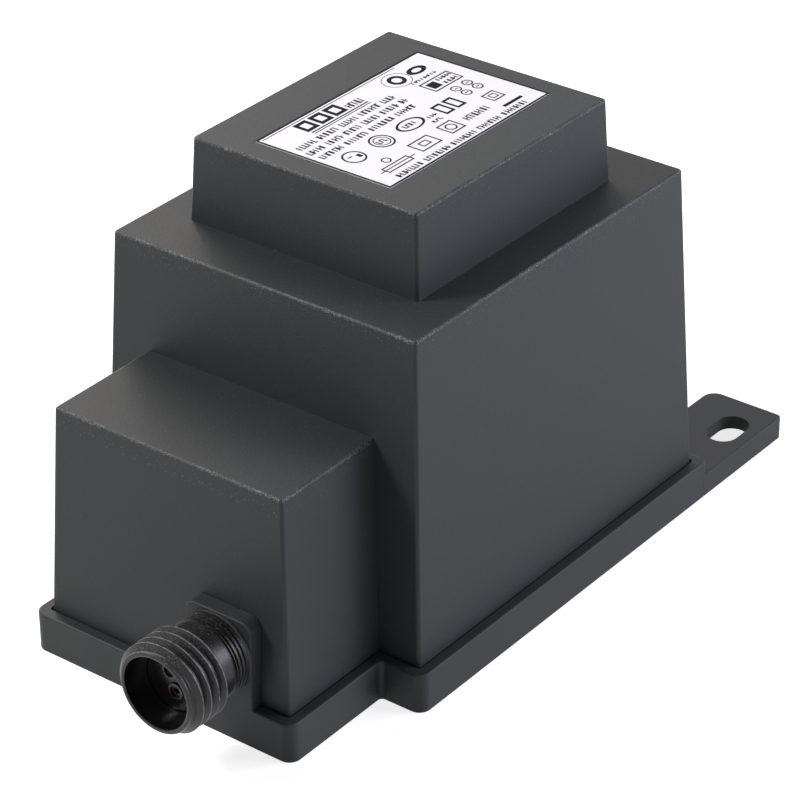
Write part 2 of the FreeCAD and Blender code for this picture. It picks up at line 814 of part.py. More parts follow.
def lead_routes():
    """Routes of the four internal leads, from the coil former's pins."""
    z = lap_height()
    far_pole = pole_places()[1]
    port_y = block_y + lead_entry
    live, neutral, first, second = pin_places()
    neutral_x, neutral_y = pin_side(neutral, 1)
    live_x, live_y = pin_side(live, 1)
    first_x, first_y = pin_side(first, -1)
    second_x, second_y = pin_side(second, 1)
    upper, lower = [(socket_x + dx, socket_z + dz) for dx, dz in contact_places()]
    contact_y = rim_front_y - insert_back
    stem_y = rim_front_y + stem_depth() + lead_exit
    return {
        "primary_lead_neutral": [(neutral_x, neutral_y - lead_lap, z), (neutral_x, port_y, z)],
        "primary_lead_live": [(live_x, live_y - lead_lap, z), (live_x, live_y + lead_lap, z),
                              (far_pole, lead_turn_y, z), (far_pole, port_y, z)],
        "secondary_lead_a": [(first_x, first_y + lead_lap, z), (first_x, first_y - lead_lap, z),
                             (upper[0], stem_y, upper[1]), (upper[0], contact_y, upper[1])],
        "secondary_lead_b": [(second_x, second_y + lead_lap, z), (second_x, second_y - lead_lap, z),
                             (lower[0], stem_y, lower[1]), (lower[0], contact_y, lower[1])],
    }


def build():
    """All sub-parts by node name."""
    parts = {
        "base": make_base(),
        "cover": make_cover(),
        "label": make_label(),
        "core_e": make_core_e(),
        "core_i": make_core_i(),
        "core_screws": make_core_screws(),
        "bobbin": make_bobbin(),
        "primary_winding": make_winding(-1),
        "secondary_winding": make_winding(1),
        "primary_tape": make_tape(-1),
        "secondary_tape": make_tape(1),
        "coil_pins": make_pins(),
        "thermal_cutout": make_cutout(),
        "socket_shell": make_socket_shell(),
        "socket_insert": make_socket_insert(),
        "socket_contacts": make_contacts(),
        "socket_seal": make_socket_seal(),
        "socket_nut": make_socket_nut(),
        "gland_body": make_gland_body(),
        "gland_seal": make_gland_seal(),
        "gland_nut": make_gland_nut(),
        "terminal_block": make_terminal_block(),
        "terminal_screws": make_terminal_screws(),
        "cover_screws": make_cover_screws(),
    }
    for name, route in lead_routes().items():
        parts[name] = make_lead(route)
    return parts


for name, shape in build().items():
    shape.exportStep("parts/" + name + ".step")
    print(name, "solids:", len(shape.Solids), "valid:", shape.isValid(), "volume mm3:", round(shape.Volume))
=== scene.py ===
# %% [markdown]
# # A lighting transformer in a stepped black housing
# This lesson dresses a small outdoor transformer that was first drawn as solids. The solids give
# every place and size. Here each piece that can be seen gets its soft moulded edges, its thread,
# its print and its surface. The first cell loads the solids as a fixed frame.

# %% Load the frame
import math
import random

import bmesh
import bpy
from mathutils import Matrix, Quaternion, Vector


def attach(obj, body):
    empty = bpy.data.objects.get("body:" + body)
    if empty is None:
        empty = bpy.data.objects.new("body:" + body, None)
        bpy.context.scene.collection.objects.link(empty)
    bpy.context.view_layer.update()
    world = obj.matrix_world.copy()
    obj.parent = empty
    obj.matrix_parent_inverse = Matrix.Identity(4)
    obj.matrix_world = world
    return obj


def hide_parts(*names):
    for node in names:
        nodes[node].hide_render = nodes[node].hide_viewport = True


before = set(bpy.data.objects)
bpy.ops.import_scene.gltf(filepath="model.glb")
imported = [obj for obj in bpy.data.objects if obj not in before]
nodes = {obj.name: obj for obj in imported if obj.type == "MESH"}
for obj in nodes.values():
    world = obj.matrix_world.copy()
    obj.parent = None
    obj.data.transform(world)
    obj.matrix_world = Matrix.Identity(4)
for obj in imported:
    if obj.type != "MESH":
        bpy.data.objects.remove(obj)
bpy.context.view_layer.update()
print("frame:", len(nodes), "nodes")

# %% [markdown]
# ## The camera
# A product photograph of a block like this is taken from far away with a long lens,
# so its upright edges stay nearly upright. The camera could be placed by eye, but its place
# was worked out from the corners of the steps, and is written here as an aim point, a distance
# and two angles. That is easier to read, and to change, than a matrix.

# %% Camera
MM = 0.001
aim = Vector((-1.200, 0.308, 32.356)) * MM
distance = 705.73 * MM
azimuth = math.radians(37.589)
height = math.radians(30.551)
tilt = math.radians(-0.301)

back = Vector((math.sin(azimuth) * math.cos(height), -math.cos(azimuth) * math.cos(height),
               math.sin(height)))
lens = bpy.data.cameras.new("camera")
lens.lens = 149.573
lens.sensor_width = 36.0
lens.clip_start = 0.01
camera = bpy.data.objects.new("camera", lens)
camera.location = aim + back * distance
camera.rotation_mode = "QUATERNION"
camera.rotation_quaternion = back.to_track_quat("Z", "Y") @ Quaternion((0, 0, 1), tilt)
bpy.context.scene.collection.objects.link(camera)
bpy.context.scene.camera = camera
print("camera at", [round(v, 3) for v in camera.location])

# %% [markdown]
# ## Writing materials as expressions
# A material is a graph of nodes, and wiring it by hand takes a line for each wire.
# The small class below wraps one socket and lets Python's own signs add the Math nodes,
# so a mask can be written as `1 - edge * wear`. All the other nodes come from one method,
# further down, that takes the node's type, its settings, and what goes into its sockets.

# %% A socket that can be calculated with
class Wire:
    """The output of a node, ready for sums."""

    def __init__(self, recipe, socket):
        self.recipe = recipe
        self.socket = socket

    def sum_node(self, operation, *values):
        return self.recipe.node("ShaderNodeMath", {"operation": operation}, dict(enumerate(values)))

    def __add__(self, other):
        return self.sum_node("ADD", self, other)

    def __radd__(self, other):
        return self.sum_node("ADD", other, self)

    def __sub__(self, other):
        return self.sum_node("SUBTRACT", self, other)

    def __rsub__(self, other):
        return self.sum_node("SUBTRACT", other, self)

    def __mul__(self, other):
        return self.sum_node("MULTIPLY", self, other)

    def __rmul__(self, other):
        return self.sum_node("MULTIPLY", other, self)

    def __gt__(self, other):
        return self.sum_node("GREATER_THAN", self, other)

    def __pow__(self, other):
        return self.sum_node("POWER", self, other)

    def sine(self):
        return self.sum_node("SINE", self)

    def near(self, centre, reach):
        """1 within this reach of the centre, 0 elsewhere."""
        return self.sum_node("COMPARE", self, centre, reach)


print("sockets can be calculated with")

# %% [markdown]
# The second class holds a material, or the world, while it is written. Besides the method that
# makes a node, it has a short one for each pattern that the finishes share: a noise, a ramp, a
# mix of two colours, the place along an axis, and a relief.

# %% A material being written
class Recipe:
    """One material, or the world, being written."""

    def __init__(self, name, kind="materials", shader="Principled BSDF", **fixed):
        self.made = getattr(bpy.data, kind).new(name)
        self.made.use_nodes = True
        self.tree = self.made.node_tree
        self.shader = self.tree.nodes[shader]
        self.place = self.node("ShaderNodeTexCoord", output="Object")
        for socket, value in fixed.items():
            self.shader.inputs[socket.replace("_", " ")].default_value = value

    def node(self, kind, settings=None, values=None, output=0):
        made = self.tree.nodes.new(kind)
        for key, value in (settings or {}).items():
            if key == "stops":
                self.set_stops(made.color_ramp.elements, value)
            else:
                setattr(made, key, value)
        for key, value in (values or {}).items():
            if isinstance(value, Wire):
                self.tree.links.new(value.socket, made.inputs[key])
            else:
                made.inputs[key].default_value = value
        return Wire(self, made.outputs[output])

    def set_stops(self, elements, stops):
        for element, (position, _) in zip(elements, stops):
            element.position = position
        for element, (_, shade) in zip(elements, stops):
            element.color = (shade, shade, shade, 1.0)

    def noise(self, size, detail=2.0, roughness=0.5):
        """Cloudy pattern whose blotches are about this size in metres."""
        values = {"Vector": self.place, "Scale": 1.0 / size, "Detail": detail,
                  "Roughness": roughness}
        return self.node("ShaderNodeTexNoise", {}, values)

    def ramp(self, value, low, high):
        """0 below low, 1 above high and smooth between."""
        stops = [(low, 0.0), (high, 1.0)]
        return self.node("ShaderNodeValToRGB", {"stops": stops}, {"Fac": value})

    def mix(self, factor, first, second):
        """Colour between two colours."""
        values = {0: factor, 6: first, 7: second}
        return self.node("ShaderNodeMix", {"data_type": "RGBA"}, values, output=2)

    def axis(self, letter):
        return self.node("ShaderNodeSeparateXYZ", {}, {0: self.place}, output="XYZ".index(letter))

    def bump(self, height_wire, depth):
        """Relief of this depth in metres."""
        values = {"Height": height_wire, "Distance": depth, "Strength": 1.0}
        return self.node("ShaderNodeBump", {}, values)

    def feed(self, **wires):
        for socket, wire in wires.items():
            self.tree.links.new(wire.socket, self.shader.inputs[socket.replace("_", " ")])
        return self.made


print("recipe helpers ready")

# %% [markdown]
# ## Black housing plastic
# The housing is one moulding of dark polyamide. Its mould was spark-eroded, which leaves a fine
# even grain: the surface stays matt, and single facets of it glint. A noise texture alone would
# look cloudy, so three sizes are used: a fine one for relief, a very fine one for painted glints,
# pale specks painted into the colour, and a broad one for the slight unevenness of the colour.
# The round edges at the top of each step get a painted highlight, a pale broken line painted into
# the colour, so the heights of the three tops, which the shapes use again further on, pick out
# three thin bands. The painted glints also gather in a wider band just under each top.

# %% Housing plastic
coil_top, main_top, front_top = 99.3, 80.7, 56.7


def grey(value, red=0.0, blue=0.0):
    """Grey of this value, shifted a little in its red and blue."""
    return (value * (1 + red), value, value * (1 + blue), 1.0)


def make_housing():
    plastic = Recipe("housing_plastic", Specular_IOR_Level=0.27)
    cloud = plastic.noise(0.03, detail=3.0)
    grain = plastic.noise(0.00045, detail=2.0, roughness=0.6)
    painted_glint = plastic.ramp(plastic.noise(0.00030, detail=0.0), 0.74, 0.80)
    z = plastic.axis("Z")
    in_front = plastic.axis("Y") * -1.0 > 48.0 * MM

    def band(below, reach):
        """1 within this reach of a level this far below the top of each step."""
        high = z.near(coil_top * MM - below, reach) + z.near(main_top * MM - below, reach)
        return high + z.near(front_top * MM - below, reach) * in_front

    # Painted highlight: a pale, broken line in the colour along the rounded top edge of each step,
    # where the lamps shine on it; it also lowers the roughness there.
    patch = plastic.ramp(plastic.noise(0.0060, detail=2.0), 0.40, 0.62)
    fine = plastic.ramp(plastic.noise(0.00034, detail=2.0), 0.46, 0.62)
    painted_edge_highlight = band(0.00032, 0.00030) * fine * (0.35 + patch * 0.65)
    tone = plastic.mix(cloud, grey(0.024, -0.13, 0.03), grey(0.031, -0.11, 0.03))
    # Painted highlight: pale glint specks in the colour, sparse everywhere and denser just under the
    # top of each step.
    tone = plastic.mix(painted_glint * (0.05 + band(0.0020, 0.0024) * 0.20), tone, grey(0.30))
    tone = plastic.mix(painted_edge_highlight * 0.50, tone, grey(0.24))
    return plastic.feed(
        Base_Color=tone,
        Roughness=0.50 + cloud * 0.10 - painted_edge_highlight * 0.12,
        Normal=plastic.bump(grain, 0.00004),
    )


housing_plastic = make_housing()
print("made", housing_plastic.name)

# %% [markdown]
# ## Connector plastic
# The output socket is moulded apart from the housing, in a smoother and blacker plastic.
# A painted highlight, a pale broken line, runs round the crests of its thread, and painted glints,
# pale specks, lie on its upper side, but none in its bore. Both follow from the distance to the
# socket's axis and the height above it.

# %% Connector plastic
socket_x, socket_z = 16.0, 20.2
crest_r, bore_edge_r = 10.1, 8.1


def make_connector():
    plastic = Recipe("connector_plastic", Specular_IOR_Level=0.36)
    cloud = plastic.noise(0.004, detail=3.0)
    grain = plastic.noise(0.0006, detail=3.0, roughness=0.65)
    across = plastic.axis("X") - socket_x * MM
    above = plastic.axis("Z") - socket_z * MM
    radius = (across * across + above * above) ** 0.5
    outside = radius > bore_edge_r * MM
    # Painted highlight: pale glint specks on the socket's upper side, outside the bore.
    speck = plastic.ramp(plastic.noise(0.00034, detail=1.0), 0.60, 0.70)
    painted_upper_glints = speck * outside * plastic.ramp(above, 0.0020, 0.0090)
    # Painted highlight: a pale, broken line in the colour along the crests of the thread.
    painted_crest_highlight = radius.near(crest_r * MM, 0.04 * MM) * plastic.ramp(plastic.noise(0.0012), 0.30, 0.60)
    tone = plastic.mix(cloud, grey(0.003), grey(0.006, 0.05, 0.0))
    tone = plastic.mix(painted_upper_glints * 0.40, tone, grey(0.24))
    tone = plastic.mix(painted_crest_highlight * 0.65, tone, grey(0.26))
    return plastic.feed(
        Base_Color=tone,
        Roughness=0.15 + outside * (0.15 + cloud * 0.14),
        Normal=plastic.bump(grain, 0.00005),
    )


connector_plastic = make_connector()
print("made", connector_plastic.name)

# %% [markdown]
# ## Metals, wire and insulation
# Behind the plastic there is a wound core. Nobody sees it through the closed housing,
# but the part may be opened or cut in half, so each inner piece has its own finish:
# the edges of the laminations as fine level lines, the turns of wire as ridges across the coil,
# turned brass, zinc plate, tape, nylon, rubber and the skins of the leads.

# %% Metals
def make_lamination():
    """Edges of varnished steel sheets, 0.5 mm apart up the stack."""
    steel = Recipe("lamination_steel", Metallic=0.85)
    sheet_pitch = 0.0005
    line = (steel.axis("Z") * (2 * math.pi / sheet_pitch)).sine() * 0.5 + 0.5
    blotch = steel.noise(0.006, detail=4.0)
    tone = steel.mix(blotch, grey(0.16, 0.0, 0.06), grey(0.34, 0.0, 0.05))
    return steel.feed(
        Base_Color=tone,
        Roughness=0.38 + blotch * 0.25,
        Normal=steel.bump(line, 0.00008),
    )


def make_metal(name, colour, roughness, line_axis=None):
    """Bare metal with a light handling haze, turned across line_axis if one is given."""
    metal = Recipe(name, Metallic=1.0)
    haze = metal.noise(0.0015, detail=3.0)
    tone = metal.mix(haze, colour, tuple(0.8 * c for c in colour[:3]) + (1.0,))
    relief = metal.noise(0.0003, detail=1.0)
    if line_axis:
        relief = (metal.axis(line_axis) * (2 * math.pi / 0.0002)).sine() * 0.5 + 0.5
    return metal.feed(
        Base_Color=tone,
        Roughness=roughness + haze * 0.2,
        Normal=metal.bump(relief, 0.00002),
    )


def make_winding(name, wire_pitch):
    """Enamelled wire: a ridge for every turn along X."""
    copper = Recipe(name, Metallic=0.9, Coat_Weight=0.4)
    ridge = (copper.axis("X") * (2 * math.pi / wire_pitch)).sine() * 0.5 + 0.5
    varnish = copper.noise(0.004, detail=3.0)
    tone = copper.mix(varnish, (0.50, 0.17, 0.07, 1.0), (0.66, 0.28, 0.13, 1.0))
    return copper.feed(
        Base_Color=tone,
        Roughness=0.30 + varnish * 0.15,
        Normal=copper.bump(ridge, wire_pitch / 3),
    )


lamination_steel = make_lamination()
zinc = make_metal("zinc_plate", (0.56, 0.57, 0.60, 1.0), 0.28)
# The brass is given a very dark colour: painted shade, for the socket's contacts that sit deep in
# their holes.
brass = make_metal("turned_brass_painted_shade", (0.10, 0.045, 0.03, 1.0), 0.36, "Y")
primary_wire = make_winding("primary_wire", 0.00045)
secondary_wire = make_winding("secondary_wire", 0.0014)
print("made the metals and the wire")

# %% [markdown]
# The plain plastics and the rubber differ only in colour, gloss and grain, so one helper makes
# them all. A single flat colour would look painted. Real moulded parts are almost even, so the
# cloud stays weak.

# %% Plastics and rubber
def make_plain(name, colour, roughness, grain_size, depth, variation=0.15, shine=0.5):
    """Plastic or rubber with one colour, gently clouded, and a fine grain."""
    skin = Recipe(name, Specular_IOR_Level=shine)
    cloud = skin.noise(0.008, detail=3.0)
    darker = tuple(c * (1 - variation) for c in colour[:3]) + (1.0,)
    return skin.feed(
        Base_Color=skin.mix(cloud, colour, darker),
        Roughness=roughness + cloud * 0.12,
        Normal=skin.bump(skin.noise(grain_size, detail=2.0), depth),
    )


nylon = make_plain("nylon", (0.72, 0.69, 0.60, 1.0), 0.42, 0.0009, 0.00003)
tape = make_plain("polyester_tape", (0.72, 0.52, 0.06, 1.0), 0.22, 0.004, 0.00010)
rubber = make_plain("seal_rubber", (0.012, 0.012, 0.012, 1.0), 0.65, 0.0007, 0.00004)
lead_brown = make_plain("lead_brown", (0.10, 0.035, 0.012, 1.0), 0.34, 0.002, 0.00003)
lead_blue = make_plain("lead_blue", (0.012, 0.06, 0.33, 1.0), 0.34, 0.002, 0.00003)
lead_black = make_plain("lead_black", (0.010, 0.010, 0.010, 1.0), 0.34, 0.002, 0.00003)
label_film = make_plain("label_film", (0.86, 0.86, 0.88, 1.0), 0.45, 0.0012, 0.00001, 0.03, 0.3)
label_ink = make_plain("label_ink", (0.006, 0.006, 0.007, 1.0), 0.60, 0.0006, 0.00001, shine=0.06)
print("made the plastics, the rubber and the print")

# %% [markdown]
# ## Finishing a piece
# All shapes are built in millimetres, as on a drawing, and become metres in one place,
# when the piece is finished. The same helper shades it smooth up to its sharp edges, gives the flat
# walls the say over the rounded ones with a Weighted Normal modifier, and fastens it to the frame.

# %% Finish, join and cut
UPRIGHT = Vector((0, 0, 1))


def finish(name, shape, material, slot, *replaced):
    """Turns a shape in millimetres into a finished piece in metres."""
    bmesh.ops.remove_doubles(shape, verts=shape.verts, dist=1e-4)
    bmesh.ops.scale(shape, vec=(MM, MM, MM), verts=shape.verts)
    mesh = bpy.data.meshes.new(name)
    shape.to_mesh(mesh)
    shape.free()
    for face in mesh.polygons:
        face.use_smooth = True
    mesh.set_sharp_from_angle(angle=math.radians(40))
    mesh.materials.append(material)
    piece = bpy.data.objects.new(name, mesh)
    bpy.context.scene.collection.objects.link(piece)
    even = piece.modifiers.new("flat_walls", "WEIGHTED_NORMAL")
    even.keep_sharp = True
    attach(piece, "root")
    if replaced:
        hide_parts(*replaced)
    print(name, len(mesh.polygons), "faces")


def as_object(shape):
    """Short-lived object that a Boolean modifier can work with."""
    mesh = bpy.data.meshes.new("tool")
    shape.to_mesh(mesh)
    shape.free()
    made = bpy.data.objects.new("tool", mesh)
    bpy.context.scene.collection.objects.link(made)
    return made


def combine(shape, operation, *tools):
    """Joins tools to a closed shape (UNION) or cuts them from it (DIFFERENCE)."""
    body = as_object(shape)
    helpers = [as_object(tool) for tool in tools]
    for helper in helpers:
        step = body.modifiers.new("step", "BOOLEAN")
        step.operation = operation
        step.solver = "EXACT"
        step.object = helper
    graph = bpy.context.evaluated_depsgraph_get()
    result = bmesh.new()
    mesh = bpy.data.meshes.new_from_object(body.evaluated_get(graph))
    result.from_mesh(mesh)
    for used in [body] + helpers:
        old = used.data
        bpy.data.objects.remove(used)
        bpy.data.meshes.remove(old)
    bpy.data.meshes.remove(mesh)
    return result


print("finish and combine ready")

# %% [markdown]
# Nearly every outer wall belongs to a block with rounded edges. A Bevel modifier could round all
# the edges at once, but a mould rounds its upright corners more than its rims, so the helpers
# pick edges by their direction or their height, and bevel each group by its own radius.

# %% Blocks with soft edges
def block(x0, x1, y0, y1, z0, z1):
    """Plain block between two corners."""
    shape = bmesh.new()
    bmesh.ops.create_cube(shape, size=1.0)
    bmesh.ops.scale(shape, vec=(x1 - x0, y1 - y0, z1 - z0), verts=shape.verts)
    bmesh.ops.translate(shape, vec=((x0 + x1) / 2, (y0 + y1) / 2, (z0 + z1) / 2), verts=shape.verts)
    return shape


def block_at(x, y, width, length, z0, z1):
    """Plain block whose middle stands at this place."""
    return block(x - width / 2, x + width / 2, y - length / 2, y + length / 2, z0, z1)


def round_edges(shape, edges, radius, segments):
    bmesh.ops.bevel(shape, geom=edges, offset=radius, segments=segments, profile=0.5,
                    affect="EDGES", material=-1, clamp_overlap=True)


def upright_edges(shape):
    return [e for e in shape.edges
            if abs((e.verts[0].co - e.verts[1].co).normalized().dot(UPRIGHT)) > 0.9]


def edges_at(shape, z):
    return [e for e in shape.edges if all(abs(v.co.z - z) < 1e-4 for v in e.verts)]


draft = math.tan(math.radians(2.6))


def drafted(half_x, y0, y1, top, foot, radius=0.8, rounding=0.0):
    """Moulded block: its size is that of its top, and its walls lean out downwards."""
    shape = block(-half_x, half_x, y0, y1, foot, top)
    grow = draft * (top - foot)
    middle = Vector((0, (y0 + y1) / 2, 0))
    low = [v for v in shape.verts if v.co.z < (top + foot) / 2]
    spread = (1 + grow / half_x, 1 + 2 * grow / (y1 - y0), 1)
    bmesh.ops.scale(shape, vec=spread, space=Matrix.Translation(-middle), verts=low)
    if radius:
        round_edges(shape, upright_edges(shape), radius, 5)
    if rounding:
        round_edges(shape, edges_at(shape, top), rounding, 4)
    return shape


print("shape helpers ready")

# %% [markdown]
# ## The stepped cover
# The real cover is one deep moulding in three steps: low over the terminals, high over the core,
# and higher still over the coil. Its walls lean out by 2.6 degrees, so that it leaves the mould,
# and its edges are rounded. It could be one outline extruded many times, but three drafted
# blocks joined together keep each step's own walls and corners, as the mould has them.
# The same three blocks, a wall smaller, then hollow it out.

# %% Cover
wall = 3.0
foot = 3.0
main_half_x, main_half_y = 38.2, 46.0
coil_half_x, coil_half_y, coil_y = 28.1, 32.1, -0.15
front_half_x, front_y = 29.0, -75.6
core_top, core_end = 74.3, -42.0
rounding = 0.6


def make_cover():
    main = drafted(main_half_x, -main_half_y, main_half_y, main_top, foot, rounding=rounding)
    coil = drafted(coil_half_x, coil_y - coil_half_y, coil_y + coil_half_y, coil_top, core_top,
                   rounding=rounding)
    front = drafted(front_half_x, front_y, core_end, front_top, foot, rounding=rounding)
    shell = combine(main, "UNION", coil, front)
    rooms = [
        drafted(main_half_x - wall, wall - main_half_y, main_half_y - wall, main_top - wall,
                foot - 1, 0),
        drafted(coil_half_x - wall, coil_y - coil_half_y + wall, coil_y + coil_half_y - wall,
                coil_top - wall, core_top, 0),
        drafted(front_half_x - wall, front_y + wall, core_end, front_top - wall, foot - 1, 0),
    ]
    return combine(shell, "DIFFERENCE", *rooms)


print("three steps, with their tops at", front_top, main_top, "and", coil_top, "mm")

# %% [markdown]
# The label lies in a shallow recess, the socket's saddle stands in a slot of the front wall,
# and the cable inlet goes through a pad on the back wall.

# %% Openings of the cover
inlet_z = 19.5
label_x, label_y = 0.5, 0.1
label_width, label_length = 34.0, 53.4


def rod(radius, z0, z1, segments=64):
    """Upright round bar."""
    shape = bmesh.new()
    bmesh.ops.create_cone(shape, cap_ends=True, segments=segments, radius1=radius, radius2=radius,
                          depth=z1 - z0)
    bmesh.ops.translate(shape, vec=(0, 0, (z0 + z1) / 2), verts=shape.verts)
    return shape


def to_front(shape):
    """From upright to pointing out of the front, on the socket's axis."""
    bmesh.ops.rotate(shape, matrix=Matrix.Rotation(math.radians(90), 3, "X"), verts=shape.verts)
    bmesh.ops.translate(shape, vec=(socket_x, 0, socket_z), verts=shape.verts)
    return shape


def to_back(shape):
    """From upright to pointing out of the back, on the cable inlet's axis."""
    bmesh.ops.rotate(shape, matrix=Matrix.Rotation(math.radians(-90), 3, "X"), verts=shape.verts)
    bmesh.ops.translate(shape, vec=(0, 0, inlet_z), verts=shape.verts)
    return shape


slot_r = 7.6
inlet_r = 6.2
pad_r = 9.5
pad_face = 49.51
pad_back = 45.05
label_gap = 0.2
label_recess = 0.1

cover_shape = make_cover()
pad = to_back(rod(pad_r, pad_back, pad_face))
cover_shape = combine(cover_shape, "UNION", pad)
slot_front, slot_back = 85.0, 70.0
slot_top = to_front(rod(slot_r, slot_back, slot_front))
slot_foot = block(socket_x - slot_r, socket_x + slot_r, -slot_front, -slot_back, foot - 1, socket_z)
inlet_hole = to_back(rod(inlet_r, pad_back - 5, pad_face + 5))
label_seat = block_at(label_x, label_y, label_width + 2 * label_gap, label_length + 2 * label_gap,
                      coil_top - label_recess, coil_top + 1)
cover_shape = combine(cover_shape, "DIFFERENCE", slot_top, slot_foot, inlet_hole, label_seat)
finish("stepped_cover", cover_shape, housing_plastic, "housing", "cover")

# %% [markdown]
# ## The tray
# The tray is the base that the cover drops into. Its outline follows the cover's foot with a
# narrow ledge all round, and its rim is what shows as a band under the housing. The outline is
# drawn as one face, extruded, and each upright corner is then rounded by its own radius.

# %% Tray
rim_height = 9.0
rim_x, rim_back, rim_front, rim_front_x = 44.205, 52.005, -80.516, 33.915
rim_corner, rim_notch, rim_back_corner = 2.6, 1.0, 1.5
seat_gap = 0.15
rim_rounding = 0.5


def outline_block(points, z0, z1):
    """Upright block on an outline."""
    shape = bmesh.new()
    face = shape.faces.new([shape.verts.new((x, y, z0)) for x, y in points])
    raised = bmesh.ops.extrude_face_region(shape, geom=[face])
    bmesh.ops.translate(shape, vec=(0, 0, z1 - z0),
                        verts=[g for g in raised["geom"] if isinstance(g, bmesh.types.BMVert)])
    bmesh.ops.recalc_face_normals(shape, faces=shape.faces)
    return shape


def corner_edges(shape, places):
    """Upright edges that stand at these places."""
    return [e for e in upright_edges(shape)
            if any((e.verts[0].co.xy - Vector(p)).length < 1e-3 for p in places)]


def make_tray():
    outline = [(-rim_front_x, rim_front), (rim_front_x, rim_front), (rim_front_x, -rim_back),
               (rim_x, -rim_back), (rim_x, rim_back), (-rim_x, rim_back),
               (-rim_x, -rim_back), (-rim_front_x, -rim_back)]
    tray = outline_block(outline, 0, rim_height)
    roundings = [((0, 1, 3, 6), rim_corner, 8), ((2, 7), rim_notch, 4), ((4, 5), rim_back_corner, 5)]
    for picked, radius, segments in roundings:
        round_edges(tray, corner_edges(tray, [outline[i] for i in picked]), radius, segments)
    round_edges(tray, edges_at(tray, rim_height), rim_rounding, 3)
    return tray


def pocket(half_x, y0, y1):
    """Room in the tray for one block of the cover."""
    shape = block(-half_x, half_x, y0, y1, foot, rim_height + 1)
    round_edges(shape, upright_edges(shape), 0.8, 4)
    return shape


main_foot_x = main_half_x + draft * (main_top - foot) + seat_gap
main_foot_y = main_half_y + draft * (main_top - foot) + seat_gap
front_foot_x = front_half_x + draft * (front_top - foot) + seat_gap
front_foot_y = front_y - draft * (front_top - foot) - seat_gap
tray_shape = combine(make_tray(), "DIFFERENCE", pocket(main_foot_x, -main_foot_y, main_foot_y),
                     pocket(front_foot_x, front_foot_y, 0))
print("tray outline done")

# %% [markdown]
# ## Ears and saddle
# Two ears with slotted holes reach out at the back. They are thin plates with a turned-down rim,
# and their upper face is lower than the tray's rim, which leaves the small step at their root.
# At the front a flat upright, the saddle, stands in the cover's slot and holds the socket.

# %% Ears
ear_end, ear_inner, ear_thickness, ear_plate = 83.105, 25.006, 5.4, 3.2
ear_rim, ear_inner_r, ear_outer_r, ear_sink = 2.2, 3.3, 1.2, 1.375
slot_x, slot_y, slot_width, slot_length = 37.506, 70.706, 7.4, 11.8


def make_ear(side):
    """Mounting ear on the side -1 or 1; its root sinks into the tray."""
    root = rim_back - ear_sink
    low, high = sorted((side * ear_inner, side * rim_x))
    ear = block(low, high, root, ear_end, 0, ear_thickness)
    round_edges(ear, corner_edges(ear, [(side * ear_inner, ear_end)]), ear_inner_r, 7)
    round_edges(ear, corner_edges(ear, [(side * rim_x, ear_end)]), ear_outer_r, 4)
    round_edges(ear, edges_at(ear, ear_thickness), 0.4, 3)
    under = block(low + ear_rim, high - ear_rim, rim_back + ear_rim, ear_end - ear_rim,
                  -1, ear_thickness - ear_plate)
    slot = block_at(side * slot_x, slot_y, slot_width, slot_length, -1, ear_thickness + 1)
    round_edges(slot, upright_edges(slot), slot_width / 2 - 0.01, 12)
    return combine(ear, "DIFFERENCE", under, slot)


print("ears:", ear_thickness, "mm thick, with slots of", slot_width, "by", slot_length, "mm")

# %% [markdown]
# The saddle's back leans with the cover's drafted wall, so its foot is thinner than its top.
# A block does for it: the two low corners at the back move forward, and the shoulders are rounded.

# %% Saddle
saddle_width, saddle_top, saddle_corner = 16.4, 28.9, 2.3


def make_saddle():
    top_y = front_y - draft * (front_top - saddle_top) - seat_gap
    foot_y = front_y - draft * front_top - seat_gap
    saddle = block(socket_x - saddle_width / 2, socket_x + saddle_width / 2, rim_front, top_y,
                   0.1, saddle_top)
    behind = [v for v in saddle.verts if v.co.z < 1 and v.co.y > rim_front + 0.1]
    bmesh.ops.translate(saddle, vec=(0, foot_y - top_y, 0), verts=behind)
    shoulders = [e for e in edges_at(saddle, saddle_top)
                 if abs(e.verts[0].co.x - e.verts[1].co.x) < 1e-4]
    round_edges(saddle, shoulders, saddle_corner, 6)
    front = [e for e in saddle.edges if all(abs(v.co.y - rim_front) < 1e-4 for v in e.verts)
             and max(v.co.z for v in e.verts) > rim_height]
    round_edges(saddle, front, 0.35, 3)
    return saddle


print("saddle:", saddle_width, "mm wide and", saddle_top, "mm high")

# %% [markdown]
# Nobody sees the tray's floor with the cover on, but it carries everything: posts for the core,
# ribs between them, standoffs for the cover's screws, and a plate that closes the slot from
# inside. They are plain blocks that sink a little into the floor before they join it, so no face
# is left lying in another one. The hole for the socket's stem is cut last, through all of them.

# %% Posts, ribs and plate
stem_hole_r = 6.05
stem_back = 66.5
post_x, post_y, post_width, post_top = 28.0, 35.0, 10.6, 30.8
rib_width, rib_top = 2.0, 6.0
standoff_x, standoff_y, standoff_width, standoff_top = 22.0, -55.3, 9.6, 6.0
plate_half, plate_front, plate_back, plate_top = 9.5, -73.52, -71.03, 29.7
neck_half, neck_front, neck_back = 7.4, -79.1, -71.05


def make_base_inside():
    """Posts, ribs and standoffs on the tray's floor, and the saddle's inner plate and neck."""
    sunk = foot - 1
    parts = []
    for x in (-post_x, post_x):
        for y in (-post_y, post_y):
            parts.append(block_at(x, y, post_width, post_width, sunk, post_top))
        parts.append(block_at(x, 0, rib_width, 2 * post_y, sunk, rib_top))
    for x in (-standoff_x, standoff_x):
        parts.append(block_at(x, standoff_y, standoff_width, standoff_width, sunk, standoff_top))
    for half, front, rear, top in [(plate_half, plate_front, plate_back, plate_top),
                                   (neck_half, neck_front, neck_back, socket_z)]:
        parts.append(block(socket_x - half, socket_x + half, front, rear, sunk, top))
    return parts


